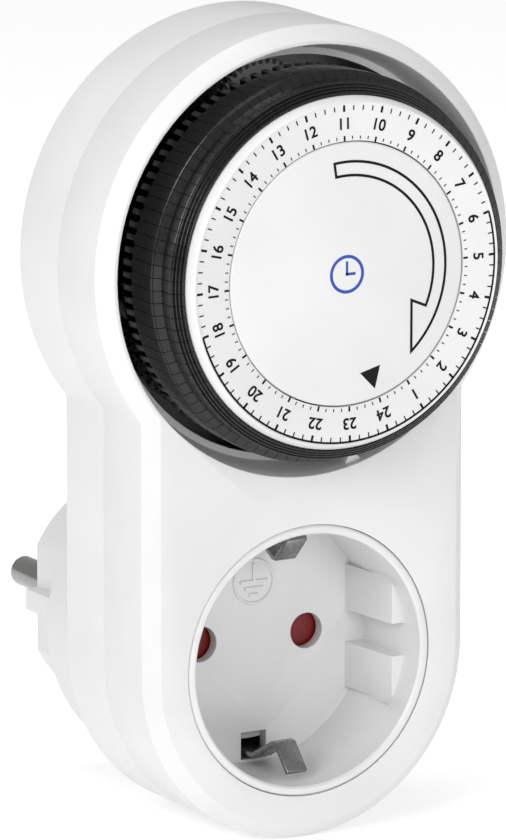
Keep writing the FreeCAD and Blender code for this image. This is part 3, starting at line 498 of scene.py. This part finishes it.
@dataclass
class EarthSymbol:
    """The raised earth symbol on the floor of the socket."""

    height: float = 9.0 * MM
    ring: float = 3.5 * MM
    line: float = 0.28 * MM
    widths: tuple[float, ...] = (5.0 * MM, 3.4 * MM, 1.8 * MM)
    step: float = 1.05 * MM
    stem_share: float = 0.85
    edge_share: float = 0.6
    recess: float = 17.5 * MM
    ring_steps: int = 64
    line_steps: int = 10

    def build(self) -> None:
        """Model the ring and its four bars as one raised piece."""
        floor = SOCKET_FRONT + self.recess
        bpy.ops.object.select_all(action="DESELECT")
        bpy.ops.mesh.primitive_torus_add(
            major_radius=self.ring, minor_radius=self.line, major_segments=self.ring_steps,
            minor_segments=self.line_steps, location=(0, floor, self.height),
            rotation=(math.pi / 2, 0, 0))
        parts = [settle(bpy.context.object, "earth_ring")]
        for step, width in enumerate(self.widths):
            parts.append(self._bar(width, 2 * self.line,
                                   (0, floor, self.height - step * self.step)))
        rise = self.ring * self.stem_share
        parts.append(self._bar(2 * self.line, rise, (0, floor, self.height + rise / 2)))
        dress(join(parts, "earth_symbol"), INSERT, "white_insert", "housing")

    def _bar(self, width: float, height: float,
             middle: tuple[float, float, float]) -> bpy.types.Object:
        """Model one bar with rounded edges.

        Args:
            width: size along X.
            height: size along Z.
            middle: the bar's middle.

        Returns:
            The bar.
        """
        bpy.ops.object.select_all(action="DESELECT")
        bpy.ops.mesh.primitive_cube_add(size=1, location=middle,
                                        scale=(width, 2 * self.line, height))
        bar = settle(bpy.context.object, "earth_bar")
        soften(bar, self.line * self.edge_share)
        return bar


# ---------------------------------------------------------------- dial

@dataclass
class Trippers:
    """The 96 press-in trippers, four to an hour, modelled once and copied."""

    crown: tuple[float, float] = (27.6, 67.9)
    neck: tuple[float, float] = (29.3, 66.4)
    root: tuple[float, float] = (27.6, 56.2)
    rim: tuple[tuple[float, float], ...] = (
        (29.3, 66.2), (29.3, 63.7), (30.3, 63.0), (30.3, 62.6), (30.5, 62.5), (30.5, 60.3),
        (30.3, 60.2), (30.3, 56.2))
    ridges: int = 4
    ridge: tuple[tuple[float, float], ...] = (
        (0.04, 0.0), (0.35, 0.26), (0.65, 0.26), (0.96, 0.0))
    rise: tuple[float, float] = (0.66, 0.75)
    sink: float = 0.1
    gap: float = 0.16
    edge: float = 0.03 * MM
    edge_angle: float = math.radians(50)
    smooth_angle: float = math.radians(25)
    middle_radius: float = 30.4 * MM
    tail_size: tuple[float, float, float] = (1.0 * MM, 3.2 * MM, 1.6 * MM)
    tail_radius: float = 29.4 * MM
    tail_depth: float = 54.9 * MM
    tail_edge: float = 0.1 * MM
    tail_edge_angle: float = math.radians(40)

    def outline(self) -> list[tuple[float, float]]:
        """Give the section as (radius, depth) corners, with the ridges on its front slope.

        Returns:
            The corners in millimetres, from the back, round the front, to the back.
        """
        slope = []
        for ridge in range(self.ridges):
            for share, lift in self.ridge:
                along = (ridge + share) / self.ridges
                slope.append(tuple(
                    start + (end - start) * along + lift * rise - self.sink
                    for start, end, rise in zip(self.crown, self.neck, self.rise)))
        return [self.root, *slope, *self.rim]

    def build(self) -> None:
        """Make the 24 groups of four."""
        master = self._segment()
        tail = self._tail()
        whole = join([master, tail], "tripper")
        for hour in range(1, 25):
            first = hour_angle(hour) + QUARTER / 2
            quarters = [turned_copy(whole, -(first + QUARTER * step)) for step in range(4)]
            name = f"tripper_hour_{hour:02d}"
            dress(join(quarters, f"{name}_set"), TRIPPER, "black_tripper", f"hour_{hour:02d}",
                  name)
        bpy.data.objects.remove(whole)

    def _segment(self) -> bpy.types.Object:
        """Spin the section into one tripper that stands straight below the axis.

        Returns:
            The segment.
        """
        corners = self.outline()
        points = [Vector((0, -depth * MM, AXIS_Z - radius * MM)) for radius, depth in corners]
        bpy.ops.object.select_all(action="DESELECT")
        bpy.ops.mesh.primitive_circle_add(vertices=len(points), fill_type="NGON")
        piece = bpy.context.object
        for vertex, point in zip(piece.data.vertices, points):
            vertex.co = point
        settle(piece, "tripper_shell")
        sweep = math.radians(QUARTER - self.gap)
        half = Matrix.Translation((0, 0, AXIS_Z)) @ Matrix.Rotation(-sweep / 2, 4, "Y")
        piece.data.transform(half @ Matrix.Translation((0, 0, -AXIS_Z)))
        bpy.ops.object.mode_set(mode="EDIT")
        bpy.ops.mesh.select_all(action="SELECT")
        bpy.ops.mesh.spin(steps=2, angle=-sweep, center=(0, 0, AXIS_Z), axis=(0, 1, 0))
        bpy.ops.mesh.select_all(action="SELECT")
        bpy.ops.mesh.remove_doubles(threshold=1e-7)
        bpy.ops.mesh.normals_make_consistent(inside=False)
        bpy.ops.object.mode_set(mode="OBJECT")
        self._centre(piece)
        modify(piece, "BEVEL", width=self.edge, segments=1, limit_method="ANGLE",
               angle_limit=self.edge_angle)
        pick(piece)
        bpy.ops.object.shade_smooth_by_angle(angle=self.smooth_angle)
        return piece

    def _centre(self, piece: bpy.types.Object) -> None:
        """Turn a segment until its middle is straight below the axis.

        Args:
            piece: the segment.
        """
        across = [vertex.co.x for vertex in piece.data.vertices]
        lean = (min(across) + max(across)) / 2
        turn = math.asin(lean / self.middle_radius)
        centre = Matrix.Translation((0, 0, AXIS_Z))
        piece.data.transform(centre @ Matrix.Rotation(turn, 4, "Y") @ centre.inverted())

    def _tail(self) -> bpy.types.Object:
        """Model the narrow tail behind a tripper.

        Returns:
            The tail.
        """
        bpy.ops.object.select_all(action="DESELECT")
        bpy.ops.mesh.primitive_cube_add(
            size=1, location=(0, -self.tail_depth, AXIS_Z - self.tail_radius),
            scale=self.tail_size)
        tail = settle(bpy.context.object, "tripper_tail")
        modify(tail, "BEVEL", width=self.tail_edge, segments=1, limit_method="ANGLE",
               angle_limit=self.tail_edge_angle)
        return tail


@dataclass
class DialPrint:
    """The hour scale printed on the turning ring."""

    ink: float = 0.03 * MM
    face_drop: float = 0.25 * MM
    outer_hour: tuple[float, ...] = (26.2 * MM, 1.0 * MM, 0.38 * MM)
    outer_quarter: tuple[float, ...] = (26.1 * MM, 0.75 * MM, 0.2 * MM)
    inner_hour: tuple[float, ...] = (21.45 * MM, 0.8 * MM, 0.32 * MM)
    inner_quarter: tuple[float, ...] = (21.4 * MM, 0.5 * MM, 0.17 * MM)
    digit_radius: float = 23.25 * MM
    digit_size: float = 2.5 * MM
    swell: float = 0.045 * MM
    layer: float = 0.002 * MM
    spacing: float = 1.0
    arc_radius: float = 26.2 * MM
    arc_half_line: float = 0.16 * MM
    arc_steps: int = 72

    def build(self) -> None:
        """Print the ticks, the digits and the night band."""
        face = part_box("scale_ring")[0].y + self.face_drop
        self._ticks(face)
        self._digits(face)
        self._band(face)

    def _tick(self, face: float, top: float, length: float, width: float) -> bpy.types.Object:
        """Model one tick straight below the axis.

        Args:
            face: Y of the printed face.
            top: the tick's outer radius.
            length: its radial length.
            width: its width.

        Returns:
            The tick.
        """
        bpy.ops.object.select_all(action="DESELECT")
        bpy.ops.mesh.primitive_cube_add(size=1, location=(0, face, AXIS_Z - top + length / 2),
                                        scale=(width, self.ink * 2, length))
        return settle(bpy.context.object, "tick")

    def _ticks(self, face: float) -> None:
        """Print the two rings of quarter-hour ticks.

        Args:
            face: Y of the printed face.
        """
        outer = (self._tick(face, *self.outer_hour), self._tick(face, *self.outer_quarter))
        inner = (self._tick(face, *self.inner_hour), self._tick(face, *self.inner_quarter))
        marks = []
        for quarter in range(96):
            for long_mark, short_mark in (outer, inner):
                mark = short_mark if quarter % 4 else long_mark
                marks.append(turned_copy(mark, -hour_angle(quarter / 4)))
        for master in (*outer, *inner):
            bpy.data.objects.remove(master)
        dress(join(marks, "scale_ticks"), INK, "black_tripper", "dial")

    def _digits(self, face: float) -> None:
        """Print the hours, their tops outwards, each stamped four times to thicken its lines.

        Args:
            face: Y of the printed face.
        """
        stamps = ((-1, -1), (1, -1), (1, 1), (-1, 1))
        for hour in range(1, 25):
            angle = hour_angle(hour)
            place = (Matrix.Translation(dial_point(self.digit_radius, angle, face))
                     @ Matrix.Rotation(math.radians(180 - angle), 4, "Y")
                     @ Matrix.Rotation(math.pi / 2, 4, "X"))
            prints = [self._stamp(str(hour), place, across * self.swell, up * self.swell,
                                  layer * self.layer)
                      for layer, (across, up) in enumerate(stamps)]
            dress(join(prints, f"digit_{hour:02d}"), INK, "black_tripper", "dial")

    def _stamp(self, words: str, place: Matrix, across: float, up: float,
               rise: float) -> bpy.types.Object:
        """Print one layer of an hour number.

        Args:
            words: the number.
            place: where its middle goes and how it is turned.
            across: shift to the right, in metres.
            up: shift upwards, in metres.
            rise: shift away from the dial, in metres.

        Returns:
            The printed layer.
        """
        bpy.ops.object.select_all(action="DESELECT")
        bpy.ops.object.text_add()
        text = bpy.context.object
        text.data.body = words
        text.data.align_x = "CENTER"
        text.data.align_y = "CENTER"
        text.data.space_character = self.spacing
        text.data.extrude = self.ink / self.digit_size
        bpy.ops.object.convert(target="MESH")
        layer = bpy.context.object
        layer.data.transform(place @ Matrix.Translation((across, up, rise))
                             @ Matrix.Scale(self.digit_size, 4))
        return layer

    def _band(self, face: float) -> None:
        """Print the heavy band from 18 round to 6.

        Args:
            face: Y of the printed face.
        """
        turns = [hour_angle(18) + 180 * step / self.arc_steps
                 for step in range(self.arc_steps + 1)]
        points = [dial_point(self.arc_radius + self.arc_half_line, turn, face)
                  for turn in turns]
        points += [dial_point(self.arc_radius - self.arc_half_line, turn, face)
                   for turn in reversed(turns)]
        dress(outline_plate(points, "night_band", self.ink), INK, "black_tripper", "dial")


@dataclass
class DialFace:
    """The turning ring, the fixed cap and what is printed on the cap."""

    ink: float = 0.03 * MM
    edge: float = 0.12 * MM
    arrow_outer: float = 17.65 * MM
    arrow_inner: float = 15.1 * MM
    arrow_start: float = -172.0
    arrow_notch: float = -293.4
    arrow_tip: float = -320.6
    arrow_barb: tuple[float, float] = (12.25 * MM, -293.5)
    arrow_steps: int = 60
    line: float = 0.42 * MM
    pointer: tuple[tuple[float, float], ...] = (
        (19.0 * MM, 0.8), (15.85 * MM, 7.4), (15.85 * MM, -5.8))
    clock_radius: float = 3.0 * MM
    clock_line: float = 0.5 * MM
    clock_steps: int = 48
    hands: tuple[tuple[float, float, float], ...] = (
        (0.2 * MM, 2.0 * MM, 0.0), (0.22 * MM, 1.5 * MM, 90.0))
    hand_rise: float = 1.1

    def build(self) -> None:
        """Make the ring, the cap, the arrow, the pointer and a plain clock mark."""
        dress(finished_copy("scale_ring", "scale_ring_face", self.edge), DIAL,
              "white_case", "dial", "scale_ring")
        dress(finished_copy("centre_cap", "centre_cap_face", self.edge), DIAL,
              "white_case", "housing", "centre_cap")
        self._arrow()
        self._pointer()
        self._clock_mark()

    def _arrow(self) -> None:
        """Print the outlined arrow that shows which way the dial turns."""
        outer = self._arc(self.arrow_outer, self.arrow_start, self.arrow_tip)
        barb = [dial_point(*self.arrow_barb, DIAL_FACE)]
        inner = self._arc(self.arrow_inner, self.arrow_notch, self.arrow_start)
        dress(outline_plate(outer + barb + inner, "turn_arrow", self.ink, self.line), INK,
              "black_tripper", "housing")

    def _arc(self, radius: float, start: float, end: float) -> list[Vector]:
        """Give the points of an arc on the cap.

        Args:
            radius: its radius.
            start: its first angle.
            end: its last angle.

        Returns:
            The points in order.
        """
        return [dial_point(radius, start + (end - start) * step / self.arrow_steps, DIAL_FACE)
                for step in range(self.arrow_steps + 1)]

    def _pointer(self) -> None:
        """Print the triangle that points at the time."""
        points = [dial_point(radius, INDEX_ANGLE + lean, DIAL_FACE)
                  for radius, lean in self.pointer]
        dress(outline_plate(points, "time_pointer", self.ink), INK, "black_tripper", "housing")

    def _clock_mark(self) -> None:
        """Print a plain blue clock, a ring and two hands."""
        centre = Vector((0, DIAL_FACE, AXIS_Z))
        turns = [step * math.tau / self.clock_steps for step in range(self.clock_steps)]
        ring = [centre + self.clock_radius * Vector((math.cos(turn), 0, math.sin(turn)))
                for turn in turns]
        parts = [outline_plate(ring, "clock_ring", self.ink, self.clock_line)]
        for half_width, length, lean in self.hands:
            turn = Matrix.Rotation(math.radians(lean), 3, "Y")
            hand = [Vector((-half_width, 0, -half_width)), Vector((half_width, 0, -half_width)),
                    Vector((half_width, 0, length)), Vector((-half_width, 0, length))]
            parts.append(outline_plate([centre + turn @ corner for corner in hand],
                                       "clock_hand", self.ink * self.hand_rise))
        dress(join(parts, "clock_mark"), BLUE_INK, "black_tripper", "housing")


# ---------------------------------------------------------------- inside and studio

@dataclass
class Inside:
    """Finishes for the CAD nodes that stay as they are."""

    def build(self) -> None:
        """Dress each kept node by its kind."""
        kinds = {
            TRIPPER: ("dial_carrier", "microswitch_case"),
            RED: ("shutter", "switch_plunger"),
            BRASS: ("neutral_socket_contact", "line_socket_contact", "neutral_busbar",
                    "line_busbar", "switched_busbar", "switch_terminals"),
            STRIP_METAL: ("housing_screws", "plate_screws", "lever_pin", "wheel_axle",
                          "shutter_spring", "lever_spring", "motor_case", "motor_end_plate",
                          "mechanism_plate"),
            COPPER: ("motor_coil",),
            ACETAL: ("motor_rotor", "dial_post"),
            GREY: ("dial_gear", "reduction_wheel", "lever_bracket", "follower_lever",
                   "shutter_retainer"),
        }
        for finish, nodes in kinds.items():
            for node in nodes:
                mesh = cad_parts[node].data
                mesh.materials.clear()
                mesh.materials.append(finish.material())
                LOG.info("%s keeps its shape", node)


@dataclass(frozen=True)
class Lamp:
    """One square area light that faces the timer."""

    name: str
    place: tuple[float, float, float]
    power: float
    size: float = 0.5
    aim: tuple[float, float, float] = (0, -0.04, 0.035)

    def build(self) -> None:
        """Add the light."""
        lamp = bpy.data.lights.new(self.name, "AREA")
        lamp.size = self.size
        lamp.energy = self.power
        item = bpy.data.objects.new(self.name, lamp)
        item.location = self.place
        way = Vector(self.aim) - Vector(self.place)
        item.rotation_euler = way.to_track_quat("-Z", "Y").to_euler()
        bpy.context.scene.collection.objects.link(item)


@dataclass
class Studio:
    """Floor, soft lights and the camera."""

    lamps: tuple[Lamp, ...] = (
        Lamp("left_key", (-0.85, -0.45, 0.45), 4.6),
        Lamp("front_fill", (-0.15, -1.2, 0.35), 4.3),
        Lamp("top_soft", (-0.1, -0.1, 1.0), 3.0))
    floor_side: float = 6.0
    floor_gap: float = 0.2 * MM
    sky: float = 0.50
    target: tuple[float, float, float] = (-9.53 * MM, -57.03 * MM, 38.99 * MM)
    clip_start: float = 0.05
    azimuth: float = -29.7
    elevation: float = 12.4
    distance: float = 1.462
    lens: float = 408.4

    def build(self) -> None:
        """Set up everything that isn't the timer."""
        self._floor()
        self._world()
        for lamp in self.lamps:
            lamp.build()
        view = bpy.context.scene.view_settings
        view.view_transform = "Standard"
        view.look = "None"
        self._camera()

    def _floor(self) -> None:
        """Lay the floor just under the timer."""
        bpy.ops.object.select_all(action="DESELECT")
        low = CAD_BOX[0][2]
        bpy.ops.mesh.primitive_plane_add(size=self.floor_side,
                                         location=(0, 0, low - self.floor_gap))
        floor = settle(bpy.context.object, "floor")
        floor.data.materials.append(FLOOR.material())

    def _world(self) -> None:
        """Light everything evenly with a pale surround."""
        world = bpy.data.worlds.new("studio")
        world.use_nodes = True
        sky = world.node_tree.nodes["Background"]
        sky.inputs["Color"].default_value = (1, 1, 1, 1)
        sky.inputs["Strength"].default_value = self.sky
        bpy.context.scene.world = world

    def _camera(self) -> None:
        """Place the long lens at the viewing angle."""
        target = Vector(self.target)
        turn = math.radians(self.azimuth)
        rise = math.radians(self.elevation)
        away = Vector((math.sin(turn) * math.cos(rise), -math.cos(turn) * math.cos(rise),
                       math.sin(rise)))
        lens = bpy.data.cameras.new("camera")
        lens.lens = self.lens
        lens.clip_start = self.clip_start
        camera = bpy.data.objects.new("camera", lens)
        camera.location = target + away * self.distance
        camera.rotation_euler = (-away).to_track_quat("-Z", "Y").to_euler()
        bpy.context.scene.collection.objects.link(camera)
        bpy.context.scene.camera = camera


def main() -> None:
    """Build and dress the timer, then the studio."""
    logging.basicConfig(level=logging.INFO, format="%(name)s: %(message)s")
    for part in (Inside(), Housing(), IndexMark(), EarthSymbol(), Trippers(), DialFace(),
                 DialPrint(), Studio()):
        part.build()


if __name__ == "__main__":
    main()
